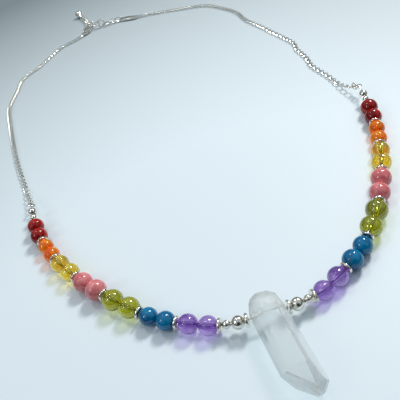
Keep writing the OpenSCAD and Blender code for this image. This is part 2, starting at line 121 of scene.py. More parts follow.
class Graph:
    """A node tree that is being wired."""

    def __init__(self, tree: bpy.types.NodeTree) -> None:
        """Keeps the tree.

        Args:
            tree: The shader or geometry tree to fill.
        """
        self.tree = tree

    def add(
        self, kind: str, settings: dict[str, object] | None = None, *values: object, **inputs: object
    ) -> bpy.types.Node:
        """Adds a node.

        Args:
            kind: The node's type name.
            settings: Values of the node's own properties.
            values: Values or output sockets for its first inputs, in their order.
            inputs: Its inputs by name, as for fill.

        Returns:
            The new node.
        """
        node = self.tree.nodes.new(kind)
        for key, value in (settings or {}).items():
            setattr(node, key, value)
        for number, value in enumerate(values):
            self.put(node, number, value)
        self.fill(node, **inputs)
        return node

    def fill(self, node: bpy.types.Node, **inputs: object) -> None:
        """Sets or links several inputs of a node.

        Args:
            node: The node.
            inputs: Values or output sockets by input name, with _ for a space in the name.
        """
        for key, value in inputs.items():
            self.put(node, key.replace("_", " "), value)

    def put(self, node: bpy.types.Node, key: str | int, value: object) -> None:
        """Sets or links one input of a node.

        Args:
            node: The node.
            key: The input's name or number.
            value: A plain value, or the output socket to link from.
        """
        socket = node.inputs[key]
        if isinstance(value, bpy.types.NodeSocket):
            self.tree.links.new(value, socket)
        else:
            socket.default_value = value

    def group(self, tree: bpy.types.NodeTree, **inputs: object) -> bpy.types.NodeOutputs:
        """Adds a shared node group.

        Args:
            tree: The group.
            inputs: Values or output sockets for its inputs.

        Returns:
            Its outputs.
        """
        return self.add("ShaderNodeGroup", {"node_tree": tree}, **inputs).outputs

    def math(self, operation: str, *values: object) -> bpy.types.NodeSocket:
        """Adds a Math node.

        Args:
            operation: What it does.
            values: Its operands, each a number or a socket.

        Returns:
            Its output.
        """
        return self.add("ShaderNodeMath", {"operation": operation}, *values).outputs[0]

    def mix(self, factor: object, a: object, b: object) -> bpy.types.NodeSocket:
        """Adds a colour mix.

        Args:
            factor: Share of the second colour.
            a: The first colour, as numbers or a socket.
            b: The second colour.

        Returns:
            The mixed colour.
        """
        node = self.add("ShaderNodeMix", {"data_type": "RGBA"}, factor)
        for number, colour in zip(MIX_COLOURS, (a, b)):
            self.put(node, number, (*colour, 1) if isinstance(colour, tuple) else colour)
        return node.outputs[MIX_RESULT]

    def ramp(self, value: object, low: float, high: float) -> bpy.types.NodeSocket:
        """Adds a smooth step between two values.

        Args:
            value: What is stepped.
            low: Where the step is 0.
            high: Where it is 1, which may be below low.

        Returns:
            The stepped value.
        """
        node = self.add("ShaderNodeMapRange", {"interpolation_type": "SMOOTHSTEP"}, value, low, high)
        return node.outputs[0]


def new_group(
    name: str, inputs: Sequence[str], outputs: Sequence[str]
) -> tuple[Graph, bpy.types.NodeOutputs, bpy.types.Node]:
    """Starts a shader node group.

    Args:
        name: The group's name.
        inputs: Names of its number inputs, which come after a Vector input.
        outputs: Names of its number outputs.

    Returns:
        The graph, the group's input sockets, and its output node.
    """
    tree = bpy.data.node_groups.new(name, "ShaderNodeTree")
    tree.interface.new_socket(name="Vector", in_out="INPUT", socket_type="NodeSocketVector")
    for way, keys in (("INPUT", inputs), ("OUTPUT", outputs)):
        for key in keys:
            tree.interface.new_socket(name=key, in_out=way, socket_type="NodeSocketFloat")
    return Graph(tree), tree.nodes.new("NodeGroupInput").outputs, tree.nodes.new("NodeGroupOutput")


@dataclass
class Effects:
    """The shader effects that several finishes share, each built once.

    A scale is in repeats per metre. A step is where a mask is 0 and where it is 1.
    """

    smear_scale: float = 420.0
    smear_step: Pair = (0.42, 0.72)
    hair_scale: float = 5200.0
    hair_stretch: Triple = (1.0, 0.15, 1.0)
    cloud_scale: float = 260.0
    cloud_step: Pair = (0.35, 0.68)
    band_scale: float = 60.0
    band_warp: float = 9.0
    band_step: Pair = (0.55, 0.95)
    fleck_scale: float = 900.0
    fleck_step: Pair = (0.22, 0.05)

    def __post_init__(self) -> None:
        """Builds the groups."""
        self.handling = self.build_handling()
        self.clouds = self.build_clouds()

    def build_handling(self) -> bpy.types.NodeTree:
        """Makes the faint smears and hairlines of a polished thing that has been handled.

        Returns:
            A group with the outputs Smear, a mask, and Height.
        """
        graph, ins, out = new_group("handling", (), ("Smear", "Height"))
        place = ins["Vector"]
        smear = graph.add("ShaderNodeTexNoise", Vector=place, Scale=self.smear_scale, Detail=3.0).outputs[0]
        drawn = graph.add("ShaderNodeMapping", Vector=place, Scale=self.hair_stretch).outputs[0]
        hair = graph.add("ShaderNodeTexNoise", Vector=drawn, Scale=self.hair_scale, Detail=4.0).outputs[0]
        graph.fill(out, Smear=graph.ramp(smear, *self.smear_step), Height=hair)
        return graph.tree

    def build_clouds(self) -> bpy.types.NodeTree:
        """Makes the clouds, bands and flecks inside natural stone.

        Returns:
            A group with the masks Cloud, Band and Fleck.
        """
        graph, ins, out = new_group("stone_clouds", ("Scale", "Warp"), ("Cloud", "Band", "Fleck"))
        place, scale, warp = ins["Vector"], ins["Scale"], ins["Warp"]
        cloud = graph.add(
            "ShaderNodeTexNoise",
            Vector=place,
            Scale=graph.math("MULTIPLY", scale, self.cloud_scale),
            Detail=5.0,
            Roughness=0.62,
            Distortion=warp,
        )
        band = graph.add(
            "ShaderNodeTexWave",
            {"bands_direction": "DIAGONAL"},
            Vector=place,
            Scale=graph.math("MULTIPLY", scale, self.band_scale),
            Distortion=graph.math("MULTIPLY", warp, self.band_warp),
            Detail=3.0,
        )
        fleck = graph.add(
            "ShaderNodeTexVoronoi", Vector=place, Scale=graph.math("MULTIPLY", scale, self.fleck_scale)
        )
        graph.fill(
            out,
            Cloud=graph.ramp(cloud.outputs[0], *self.cloud_step),
            Band=graph.ramp(band.outputs[0], *self.band_step),
            Fleck=graph.ramp(fleck.outputs[0], *self.fleck_step),
        )
        return graph.tree


def new_material(name: str) -> tuple[bpy.types.Material, Graph, bpy.types.Node, bpy.types.NodeSocket]:
    """Starts a material.

    Args:
        name: The material's name.

    Returns:
        The material, its graph, its Principled BSDF and the Object coordinates.
    """
    material = bpy.data.materials.new(name)
    material.use_nodes = True
    graph = Graph(material.node_tree)
    shader = material.node_tree.nodes["Principled BSDF"]
    coordinates = graph.add("ShaderNodeTexCoord").outputs["Object"]
    return material, graph, shader, coordinates


def let_lamps_through(
    material: bpy.types.Material, graph: Graph, shader: bpy.types.Node, tint: Colour, share: float
) -> None:
    """Lets some of the light pass straight through glass, tinted, so that its shadow is light and coloured.

    Lamp light and light on its way to a matt surface both pass, so that no hard bright patch lies beside it.

    Args:
        material: The material.
        graph: Its graph.
        shader: Its Principled BSDF.
        tint: Colour of the light that has passed.
        share: How much of the light passes.
    """
    clear = graph.add("ShaderNodeBsdfTransparent", Color=(*tint, 1))
    rays = graph.add("ShaderNodeLightPath").outputs
    passing = graph.math("MAXIMUM", rays["Is Shadow Ray"], rays["Is Diffuse Ray"])
    factor = graph.math("MULTIPLY", passing, share)
    mix = graph.add("ShaderNodeMixShader", None, factor, shader.outputs[0], clear.outputs[0])
    graph.fill(material.node_tree.nodes["Material Output"], Surface=mix.outputs[0])


@dataclass(frozen=True)
class SilverFinish:
    """Polished silver with faint smears and a little tarnish."""

    name: str = "polished_silver"
    bright: Colour = (0.86, 0.83, 0.76)
    tarnish: Colour = (0.4, 0.36, 0.29)
    tarnish_share: float = 0.45
    roughness: float = 0.06
    smear_roughness: float = 0.18
    hairline: float = 0.04
    hairline_depth: float = 0.1 * MM

    def material(self, effects: Effects) -> bpy.types.Material:
        """Builds the material.

        Args:
            effects: The shared effects.

        Returns:
            The material.
        """
        material, graph, shader, place = new_material(self.name)
        worn = graph.group(effects.handling, Vector=place)
        tarnished = graph.math("MULTIPLY", worn["Smear"], self.tarnish_share)
        spread = self.smear_roughness - self.roughness
        hairs = graph.add(
            "ShaderNodeBump", Strength=self.hairline, Distance=self.hairline_depth, Height=worn["Height"]
        )
        graph.fill(
            shader,
            Base_Color=graph.mix(tarnished, self.bright, self.tarnish),
            Metallic=1.0,
            Roughness=graph.math("MULTIPLY_ADD", worn["Smear"], spread, self.roughness),
            Normal=hairs.outputs[0],
        )
        return material


@dataclass(frozen=True)
class StoneFinish:
    """A polished natural stone."""

    name: str
    deep: Colour
    pale: Colour
    fleck: Colour
    see_through: float = 0.0
    glow: float = 0.0
    cloud_scale: float = 1.0
    warp: float = 0.6
    band_share: float = 0.4
    fleck_share: float = 0.0
    roughness: float = 0.05
    smear_roughness: float = 0.04
    ior: float = 1.55
    coat: float = 0.5
    coat_roughness: float = 0.02
    glow_reach: Triple = (1.0, 0.5, 0.3)
    glow_scale: float = 2 * MM
    shadow_tint: Colour | None = None
    shadow_share: float = 0.8

    def material(self, effects: Effects) -> bpy.types.Material:
        """Builds the material.

        Args:
            effects: The shared effects.

        Returns:
            The material.
        """
        material, graph, shader, place = new_material(self.name)
        inside = graph.group(effects.clouds, Vector=place, Scale=self.cloud_scale, Warp=self.warp)
        worn = graph.group(effects.handling, Vector=place)
        bands = graph.math("MULTIPLY", inside["Band"], self.band_share)
        body = graph.mix(graph.math("MAXIMUM", inside["Cloud"], bands), self.deep, self.pale)
        flecks = graph.math("MULTIPLY", inside["Fleck"], self.fleck_share)
        graph.fill(
            shader,
            Base_Color=graph.mix(flecks, body, self.fleck),
            Roughness=graph.math("MULTIPLY_ADD", worn["Smear"], self.smear_roughness, self.roughness),
            IOR=self.ior,
            Transmission_Weight=self.see_through,
            Coat_Weight=self.coat,
            Coat_Roughness=self.coat_roughness,
            Subsurface_Weight=self.glow,
            Subsurface_Radius=self.glow_reach,
            Subsurface_Scale=self.glow_scale,
        )
        if self.shadow_tint is not None:
            let_lamps_through(material, graph, shader, self.shadow_tint, self.shadow_share)
        return material


@dataclass(frozen=True)
class CrystalFinish:
    """Natural quartz: clear growth faces with fine striations, and a frosted top."""

    hole: Vector
    heading: float
    name: str = "natural_quartz"
    tint: Colour = (0.995, 1.0, 0.985)
    frost: Colour = (0.96, 0.97, 0.95)
    frost_share: float = 0.6
    frost_step: Pair = (4.2 * MM, -1.0 * MM)
    frost_ragged: float = 5.0 * MM
    ragged_scale: float = 320.0
    veil_share: float = 0.25
    veil_scale: float = 1.3
    veil_warp: float = 1.2
    clear_roughness: float = 0.02
    frost_roughness: float = 0.2
    ior: float = 1.54
    see_through: float = 0.76
    chip_scale: float = 800.0
    striation: float = 0.04
    striation_scale: float = 330.0
    relief: float = 0.9
    relief_depth: float = 0.6 * MM
    shadow_tint: Colour = (0.9, 0.93, 0.93)
    shadow_share: float = 0.95

    def material(self, effects: Effects) -> bpy.types.Material:
        """Builds the material.

        Args:
            effects: The shared effects.

        Returns:
            The material.
        """
        material, graph, shader, place = new_material(self.name)
        moved = graph.add("ShaderNodeVectorMath", {"operation": "SUBTRACT"}, place, self.hole).outputs[0]
        turned = graph.add(
            "ShaderNodeVectorRotate", {"rotation_type": "Z_AXIS"}, Vector=moved, Angle=-self.heading
        ).outputs[0]
        along = graph.add("ShaderNodeSeparateXYZ", Vector=turned).outputs[0]
        ragged = graph.add("ShaderNodeTexNoise", Vector=place, Scale=self.ragged_scale, Detail=4.0)
        edge = graph.math("MULTIPLY_ADD", ragged.outputs[0], self.frost_ragged, along)
        frosted = graph.ramp(edge, *self.frost_step)
        inside = graph.group(effects.clouds, Vector=place, Scale=self.veil_scale, Warp=self.veil_warp)
        veil = graph.math("MULTIPLY", inside["Cloud"], self.veil_share)
        white = graph.math("MAXIMUM", graph.math("MULTIPLY", frosted, self.frost_share), veil)
        chips = graph.add(
            "ShaderNodeTexNoise", Vector=place, Scale=self.chip_scale, Detail=5.0, Roughness=0.7
        ).outputs[0]
        steps = graph.add(
            "ShaderNodeTexWave", None, Vector=turned, Scale=self.striation_scale, Distortion=1.5
        ).outputs[1]
        chipped = graph.math("MULTIPLY", chips, frosted)
        height = graph.math("ADD", chipped, graph.math("MULTIPLY", steps, self.striation))
        bump = graph.add("ShaderNodeBump", Strength=self.relief, Distance=self.relief_depth, Height=height)
        graph.fill(
            shader,
            Base_Color=graph.mix(white, self.tint, self.frost),
            Roughness=graph.math("MULTIPLY_ADD", frosted, self.frost_roughness, self.clear_roughness),
            IOR=self.ior,
            Transmission_Weight=self.see_through,
            Normal=bump.outputs[0],
        )
        let_lamps_through(material, graph, shader, self.shadow_tint, self.shadow_share)
        return material


@dataclass(frozen=True)
class TableFinish:
    """A smooth pale table with painted shade: its colour is painted darker with distance from a lit middle,
    standing in for the light falling off.
    """

    name: str = "pale_table"
    near: Colour = (0.78, 0.87, 0.92)
    far: Colour = (0.2, 0.25, 0.26)
    middle: Triple = (0.012, -0.125, 0.0)
    reach: Pair = (0.09, 0.37)
    roughness: float = 0.55
    grain: float = 0.03
    grain_scale: float = 900.0

    def material(self) -> bpy.types.Material:
        """Builds the material.

        Returns:
            The material.
        """
        material, graph, shader, place = new_material(self.name)
        away = graph.add("ShaderNodeVectorMath", {"operation": "DISTANCE"}, place, self.middle)
        # Painted shade: the colour goes from near to far with distance from the middle, in place of the light
        # falling off; the grain on top is the table's own.
        painted_falloff = graph.add("ShaderNodeMapRange", None, away.outputs["Value"], *self.reach).outputs[0]
        grain = graph.add("ShaderNodeTexNoise", Vector=place, Scale=self.grain_scale, Detail=2.0).outputs[0]
        grain_and_painted_falloff = graph.math("MULTIPLY_ADD", grain, self.grain, painted_falloff)
        graph.fill(shader, Base_Color=graph.mix(grain_and_painted_falloff, self.near, self.far), Roughness=self.roughness)
        return material


STONE_FINISHES = {
    Stone.VIOLET: StoneFinish(
        "amethyst", (0.24, 0.07, 0.5), (0.62, 0.42, 0.85), (0.85, 0.78, 0.97),
        see_through=0.85, band_share=0.8, warp=0.8, shadow_tint=(0.68, 0.55, 0.85),
    ),
    Stone.BLUE: StoneFinish(
        "blue_stone", (0.0, 0.08, 0.22), (0.0, 0.22, 0.45), (0.0, 0.36, 0.5),
        see_through=0.1, cloud_scale=0.7, band_share=0.25, warp=0.3, coat=0.2, ior=1.45,
    ),
    Stone.GREEN: StoneFinish(
        "olive_stone", (0.36, 0.37, 0.008), (0.64, 0.62, 0.03), (0.1, 0.1, 0.003),
        see_through=0.85, band_share=0.5, fleck_share=0.6, cloud_scale=1.2, shadow_tint=(0.76, 0.78, 0.5),
    ),
    Stone.PINK: StoneFinish(
        "rose_stone", (0.62, 0.12, 0.14), (0.82, 0.3, 0.3), (0.34, 0.08, 0.09),
        cloud_scale=1.2, warp=1.4, band_share=0.2, fleck_share=0.25, roughness=0.09, coat=0.2, ior=1.45,
    ),
    Stone.YELLOW: StoneFinish(
        "yellow_stone", (0.8, 0.47, 0.003), (0.98, 0.84, 0.1), (0.5, 0.2, 0.003),
        see_through=0.92, band_share=0.4, cloud_scale=0.9, shadow_tint=(0.95, 0.87, 0.55),
    ),
    Stone.ORANGE: StoneFinish(
        "orange_stone", (0.98, 0.14, 0.0), (1.0, 0.42, 0.0), (1.0, 0.6, 0.05),
        see_through=0.5, glow=0.3, cloud_scale=0.7, shadow_tint=(0.98, 0.62, 0.36), shadow_share=0.7,
        coat=0.2, ior=1.45,
    ),
    Stone.RED: StoneFinish(
        "red_stone", (0.2, 0.0, 0.0), (0.46, 0.008, 0.0), (0.62, 0.05, 0.0),
        see_through=0.05, cloud_scale=0.7, band_share=0.3, coat=0.15, ior=1.42,
    ),
}


# ---- Meshes ----


def new_object(name: str, data: bpy.types.ID) -> bpy.types.Object:
    """Makes an object at the origin.

    Args:
        name: Its name.
        data: Its mesh, lamp or camera.

    Returns:
        The object.
    """
    item = bpy.data.objects.new(name, data)
    bpy.context.scene.collection.objects.link(item)
    return item


def new_piece(name: str, mesh: bpy.types.Mesh, material: bpy.types.Material) -> bpy.types.Object:
    """Makes an object of one material from a mesh.

    Args:
        name: The piece's name.
        mesh: Its mesh, already in place.
        material: Its only material.

    Returns:
        The object.
    """
    mesh.materials.clear()
    mesh.materials.append(material)
    return new_object(name, mesh)


def finish_mesh(shape: bmesh.types.BMesh, name: str, sharp_angle: float = math.radians(35)) -> bpy.types.Mesh:
    """Turns a shape into a smooth-shaded mesh whose sharp edges stay sharp.

    Args:
        shape: The shape, which is freed.
        name: The mesh's name.
        sharp_angle: Edges that bend more than this stay sharp.

    Returns:
        The mesh.
    """
    bmesh.ops.remove_doubles(shape, verts=shape.verts, dist=MERGE)
    bmesh.ops.recalc_face_normals(shape, faces=shape.faces)
    mesh = bpy.data.meshes.new(name)
    shape.to_mesh(mesh)
    shape.free()
    mesh.shade_smooth()
    mesh.set_sharp_from_angle(angle=sharp_angle)
    return mesh


def baked(piece: bpy.types.Object) -> bpy.types.Mesh:
    """Applies a piece's modifiers.

    Args:
        piece: The object with live modifiers.

    Returns:
        Its evaluated mesh.
    """
    graph = bpy.context.evaluated_depsgraph_get()
    return bpy.data.meshes.new_from_object(piece.evaluated_get(graph))


def skin(shape: bmesh.types.BMesh, rows: Sequence[Sequence[bmesh.types.BMVert]]) -> None:
    """Joins each closed row of corners to the next by four-sided faces.

    Args:
        shape: The shape that the corners are in.
        rows: The rows, in order, with equally many corners.
    """
    for here, there in zip(rows, rows[1:]):
        for k in range(len(here)):
            m = (k + 1) % len(here)
            shape.faces.new((here[k], here[m], there[m], there[k]))


def lathe(profile: Sequence[Pair], centre: Vector, axis: Vector, sides: int) -> bmesh.types.BMesh:
    """Revolves a closed outline about an axis.

    Args:
        profile: Points (distance along the axis, radius), as a closed loop.
        centre: Where the outline's zero lies.
        axis: The axis.
        sides: Steps round it.

    Returns:
        The closed shape.
    """
    shape = bmesh.new()
    turn = axis.to_track_quat("X", "Z").to_matrix()
    rows = []
    for step in range(sides):
        angle = 2 * math.pi * step / sides
        rows.append([
            shape.verts.new(centre + turn @ Vector((x, r * math.cos(angle), r * math.sin(angle))))
            for x, r in profile
        ])
    skin(shape, [*rows, rows[0]])
    return shape


def merged_copy(node: bpy.types.Object) -> bmesh.types.BMesh:
    """Copies a CAD node's mesh with its doubled corners merged.

    Args:
        node: The CAD node, which stays as it is.

    Returns:
        The copy.
    """
    shape = bmesh.new()
    shape.from_mesh(node.data)
    bmesh.ops.remove_doubles(shape, verts=shape.verts, dist=CAD_MERGE)
    return shape


def islands(node: bpy.types.Object) -> list[np.ndarray]:
    """Splits a CAD node into its loose solids.

    Args:
        node: The CAD node.

    Returns:
        The corner points of each loose solid.
    """
    shape = merged_copy(node)
    seen: set[bmesh.types.BMVert] = set()
    groups = []
    for start in shape.verts:
        if start in seen:
            continue
        stack, group = [start], []
        seen.add(start)
        while stack:
            vertex = stack.pop()
            group.append(tuple(vertex.co))
            for edge in vertex.link_edges:
                other = edge.other_vert(vertex)
                if other not in seen:
                    seen.add(other)
                    stack.append(other)
        groups.append(np.array(group))
    shape.free()
    return groups


def principal_frame(points: np.ndarray) -> tuple[Vector, np.ndarray]:
    """Finds the middle and the main directions of a solid's points.

    Args:
        points: The solid's corner points.

    Returns:
        The middle, and a 3 by 3 array whose columns are the longest, second and shortest direction.
    """
    middle = points.mean(axis=0)
    _, axes = np.linalg.eigh(np.cov((points - middle).T))
    frame = axes[:, ::-1].copy()
    if np.linalg.det(frame) < 0:
        frame[:, 2] *= -1
    return Vector(middle), frame


def settle(piece: bpy.types.Object, node: str, body: str = BODY) -> None:
    """Ties a finished piece to the frame.

    Args:
        piece: The piece.
        node: The CAD node that it stands for.
        body: The body that it rides on.
    """
    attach(piece, body)
    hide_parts(node)
    LOG.info("%s: %d faces, for %s", piece.name, len(piece.data.polygons), node)


# ---- Repeated pieces ----


@dataclass(frozen=True)
class LinkShape:
    """One link, in metres. Each end is turned by the twist, and a fullness below 1 squares the oval."""

    half_length: float
    half_width: float
    wire: float
    twist: float = math.radians(50)
    fullness: float = 0.65
    stations: int = 20
    sides: int = 6
    faceted: bool = False


SMALL_LINK = LinkShape(half_length=1.92 * MM, half_width=0.95 * MM, wire=0.42 * MM, faceted=True)
BIG_LINK = LinkShape(half_length=2.4 * MM, half_width=1.4 * MM, wire=0.6 * MM)
DISC_EDGE_SHARE = 0.42
DISC_STATIONS = 40
DISC_EDGE_STEPS = 4


class PlacedShapes:
    """A Geometry Nodes tree that puts one shape at every point of a mesh, turned by its turn attribute."""

    def __init__(self, name: str, sizes: dict[str, float]) -> None:
        """Starts the tree.

        Args:
            name: The tree's name.
            sizes: Names and values of its size inputs.
        """
        self.tree = bpy.data.node_groups.new(name, "GeometryNodeTree")
        self.sizes = sizes
        interface = self.tree.interface
        interface.new_socket(name="Geometry", in_out="INPUT", socket_type="NodeSocketGeometry")
        for key, value in sizes.items():
            kind = "NodeSocketInt" if isinstance(value, int) else "NodeSocketFloat"
            interface.new_socket(name=key, in_out="INPUT", socket_type=kind)
        interface.new_socket(name="Material", in_out="INPUT", socket_type="NodeSocketMaterial")
        interface.new_socket(name="Geometry", in_out="OUTPUT", socket_type="NodeSocketGeometry")
        self.graph = Graph(self.tree)
        self.inputs = self.tree.nodes.new("NodeGroupInput").outputs

    def close(self, shape: bpy.types.NodeSocket, faceted: bool = False) -> None:
        """Ends the tree.

        Args:
            shape: The one shape that is placed at every point.
            faceted: Whether its faces stay flat, as on a diamond-cut chain.
        """
        add, ins = self.graph.add, self.inputs
        turn = add("GeometryNodeInputNamedAttribute", {"data_type": "QUATERNION"}, Name="turn")
        rotation = next(socket for socket in turn.outputs if socket.enabled and socket.name == "Attribute")
        placed = add("GeometryNodeInstanceOnPoints", None, ins["Geometry"], Instance=shape, Rotation=rotation)
        real = add("GeometryNodeRealizeInstances", Geometry=placed.outputs[0])
        smooth = add("GeometryNodeSetShadeSmooth", Geometry=real.outputs[0], Shade_Smooth=not faceted)
        dressed = add("GeometryNodeSetMaterial", Geometry=smooth.outputs[0], Material=ins["Material"])
        add("NodeGroupOutput", None, dressed.outputs[0])

    def make(self, name: str, places: list[Place], material: bpy.types.Material) -> bpy.types.Object:
        """Runs the tree on a list of places.

        Args:
            name: The finished piece's name.
            places: Middle and turn of each copy.
            material: The piece's material.

        Returns:
            The finished piece, with a plain mesh.
        """
        mesh = bpy.data.meshes.new(name + "_places")
        mesh.from_pydata([tuple(middle) for middle, _ in places], [], [])
        turns = mesh.attributes.new("turn", "QUATERNION", "POINT")
        for item, (_, turn) in zip(turns.data, places):
            item.value = turn
        points = new_object(name + "_places", mesh)
        modifier = points.modifiers.new("placed", "NODES")
        modifier.node_group = self.tree
        values = {**self.sizes, "Material": material}
        for item in self.tree.interface.items_tree:
            if item.in_out == "INPUT" and item.name in values:
                modifier[item.identifier] = values[item.name]
        piece = new_piece(name, baked(points), material)
        bpy.data.objects.remove(points)
        return piece


def link_tree(name: str, shape: LinkShape) -> PlacedShapes:
    """Builds the tree of a twisted link: an oval of wire whose ends are turned opposite ways.

    Args:
        name: The tree's name.
        shape: The link's sizes.

    Returns:
        The tree.
    """
    placed = PlacedShapes(name, {
        "Half Length": shape.half_length,
        "Half Width": shape.half_width,
        "Wire Radius": shape.wire / 2,
        "Twist": shape.twist,
        "Fullness": shape.fullness,
        "Stations": shape.stations,
        "Sides": shape.sides,
    })
    graph, sizes = placed.graph, placed.inputs
    oval = graph.add("GeometryNodeCurvePrimitiveCircle", Resolution=sizes["Stations"], Radius=1.0)
    share = graph.add("GeometryNodeSplineParameter").outputs["Factor"]
    angle = graph.math("MULTIPLY", share, 2 * math.pi)
    cosine, sine = graph.math("COSINE", angle), graph.math("SINE", angle)
    full = graph.math("POWER", graph.math("ABSOLUTE", sine), sizes["Fullness"])
    signed = graph.math("MULTIPLY", full, graph.math("SIGN", sine))
    width = graph.math("MULTIPLY", signed, sizes["Half Width"])
    twist = graph.math("MULTIPLY", sizes["Twist"], cosine)
    place = graph.add(
        "ShaderNodeCombineXYZ",
        X=graph.math("MULTIPLY", cosine, sizes["Half Length"]),
        Y=graph.math("MULTIPLY", width, graph.math("COSINE", twist)),
        Z=graph.math("MULTIPLY", width, graph.math("SINE", twist)),
    )
    bent = graph.add("GeometryNodeSetPosition", Geometry=oval.outputs[0], Position=place.outputs[0])
    section = graph.add(
        "GeometryNodeCurvePrimitiveCircle", Resolution=sizes["Sides"], Radius=sizes["Wire Radius"]
    )
    wire = graph.add("GeometryNodeCurveToMesh", Curve=bent.outputs[0], Profile_Curve=section.outputs[0])
    placed.close(wire.outputs[0], shape.faceted)
    return placed


def disc_tree(name: str, diameter: float, bore: float, thickness: float) -> PlacedShapes:
    """Builds the tree of a drilled disc with a rounded edge.

    Args:
        name: The tree's name.
        diameter: Across the disc.
        bore: Across its hole.
        thickness: Along its hole.

    Returns:
        The tree.
    """
    placed = PlacedShapes(name, {
        "Middle Radius": (diameter + bore) / 4,
        "Wall": (diameter - bore) / 2,
        "Thickness": thickness,
        "Edge Radius": thickness * DISC_EDGE_SHARE,
        "Stations": DISC_STATIONS,
    })
    graph, sizes = placed.graph, placed.inputs
    path = graph.add(
        "GeometryNodeCurvePrimitiveCircle", Resolution=sizes["Stations"], Radius=sizes["Middle Radius"]
    )
    section = graph.add(
        "GeometryNodeCurvePrimitiveQuadrilateral", Width=sizes["Wall"], Height=sizes["Thickness"]
    )
    rounded = graph.add("GeometryNodeFilletCurve", {"mode": "POLY"}, Curve=section.outputs[0])
    graph.fill(rounded, Radius=sizes["Edge Radius"], Count=DISC_EDGE_STEPS)
    disc = graph.add("GeometryNodeCurveToMesh", Curve=path.outputs[0], Profile_Curve=rounded.outputs[0])
    placed.close(disc.outputs[0])
    return placed


@dataclass
class Chains:
    """The twisted curb chains, the links by the tab and the extender, each link where its CAD solid is."""

    frame: dict
    silver: bpy.types.Material

    def places(self, node: str) -> list[Place]:
        """Reads where each link of a node lies.

        Args:
            node: The CAD node.

        Returns:
            Middle and turn of each link.
        """
        found = []
        for points in islands(self.frame["nodes"][node]):
            middle, axes = principal_frame(points)
            found.append((middle, Matrix(axes.tolist()).to_quaternion()))
        return found

    def build(self) -> None:
        """Makes and dresses one piece for each chain node."""
        small, big = link_tree("small_twisted_link", SMALL_LINK), link_tree("big_twisted_link", BIG_LINK)
        for node, tree in (
            ("chain_left", small), ("chain_right", small), ("connector_chain", big), ("extender_chain", big),
        ):
            settle(tree.make(node + "_links", self.places(node), self.silver), node)


# ---- The string ----


@dataclass(frozen=True)
class BeadPlace:
    """Where one strung bead lies."""

    node: str
    middle: Vector
    axis: Vector
    diameter: float


@dataclass
class BeadString:
    """Everything round that is strung on the wire.

    The lip round a ball's hole is lip_share holes wide and break_share radii deep.
    """

    frame: dict
    silver: bpy.types.Material
    stones: dict[Stone, bpy.types.Material]
    cover_wall: float = 0.3 * MM
    cover_hole: float = 1.9 * MM
    sides: int = 48
    ball_steps: int = 26
    cover_steps: int = 22
    lip_share: float = 1.12
    break_share: float = 0.06

    def order(self, side: Side) -> list[str]:
        """Names the round beads of one side from the quartz point outward.

        Args:
            side: The side.

        Returns:
            The CAD nodes' names.
        """
        tail = side.value
        names = [f"large_silver_bead_{tail}", f"small_silver_bead_{tail}"]
        names += [f"{stone.value}_bead_{tail}_{number}" for stone in Stone for number in (1, 2)]
        return names + [f"spacer_bead_{tail}", f"crimp_cover_{tail}"]

    def places(self, side: Side) -> list[BeadPlace]:
        """Reads where the beads of one side lie, each turned along the line of its neighbours.

        Args:
            side: The side.

        Returns:
            Their places.
        """
        names = self.order(side)
        corners = [[Vector(corner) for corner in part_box(name)] for name in names]
        middles = [(low + high) / 2 for low, high in corners]
        heights = [high.z - low.z for low, high in corners]
        chords = [after - before for before, after in zip(middles[:1] + middles, middles[1:] + middles[-1:])]
        axes = [chord.normalized() for chord in chords]
        return [BeadPlace(*values) for values in zip(names, middles, axes, heights)]

    def ball_outline(self, diameter: float) -> list[Pair]:
        """Outlines half of a drilled ball, with the edge of the hole just broken.

        Args:
            diameter: Across the ball.

        Returns:
            The closed outline.
        """
        radius, hole = diameter / 2, BEAD_BORE / 2
        arc = self.arc(radius, hole * self.lip_share, self.ball_steps)
        edge = arc[-1][0] - self.break_share * radius
        return [(-edge, hole), *arc, (edge, hole)]

    def cover_outline(self, diameter: float) -> list[Pair]:
        """Outlines the wall of a hollow crimp cover.

        Args:
            diameter: Across the cover.

        Returns:
            The closed outline.
        """
        outer = self.arc(diameter / 2, self.cover_hole / 2, self.cover_steps)
        inner = self.arc(diameter / 2 - self.cover_wall, self.cover_hole / 2, self.cover_steps)
        return outer + inner[::-1]

    @staticmethod
    def arc(radius: float, hole: float, steps: int) -> list[Pair]:
        """Outlines a half circle about the axis that ends at a hole on both sides.

        Args:
            radius: The circle's radius.
            hole: The hole's radius.
            steps: Steps of the arc.

        Returns:
            Its points.
        """
        start = math.asin(hole / radius)
        angles = [start + (math.pi - 2 * start) * k / steps for k in range(steps + 1)]
        return [(-radius * math.cos(angle), radius * math.sin(angle)) for angle in angles]

    def discs(self, side: Side) -> None:
        """Makes and dresses the silver discs of one side, all with the middle one of their sizes.

        Args:
            side: The side.
        """
        node = f"rondelles_{side.value}"
        found, sizes = [], []
        for points in islands(self.frame["nodes"][node]):
            middle, axes = principal_frame(points)
            normal = axes[:, 2]
            offsets = points - np.array(middle)
            along = offsets @ normal
            across = np.linalg.norm(offsets - along[:, None] * normal, axis=1)
            sizes.append((2 * across.max(), along.max() - along.min()))
            found.append((middle, Vector(normal).to_track_quat("Z", "Y")))
        diameter, thickness = (float(value) for value in np.median(np.array(sizes), axis=0))
        tree = disc_tree("drilled_disc_" + side.value, diameter, BEAD_BORE, thickness)
        settle(tree.make(f"silver_discs_{side.value}", found, self.silver), node)

    def build(self) -> None:
        """Makes and dresses every bead, disc and cover."""
        for side in Side:
            for place in self.places(side):
                self.bead(place)
            self.discs(side)

    def bead(self, place: BeadPlace) -> None:
        """Makes and dresses one bead.

        Args:
            place: Where it lies.
        """
        cover = place.node.startswith("crimp")
        outline = self.cover_outline(place.diameter) if cover else self.ball_outline(place.diameter)
        shape = lathe(outline, place.middle, place.axis, self.sides)
        stone = next((kind for kind in Stone if place.node.startswith(kind.value)), None)
        material = self.stones[stone] if stone else self.silver
        piece = new_piece(place.node + "_round", finish_mesh(shape, place.node), material)
        settle(piece, place.node)


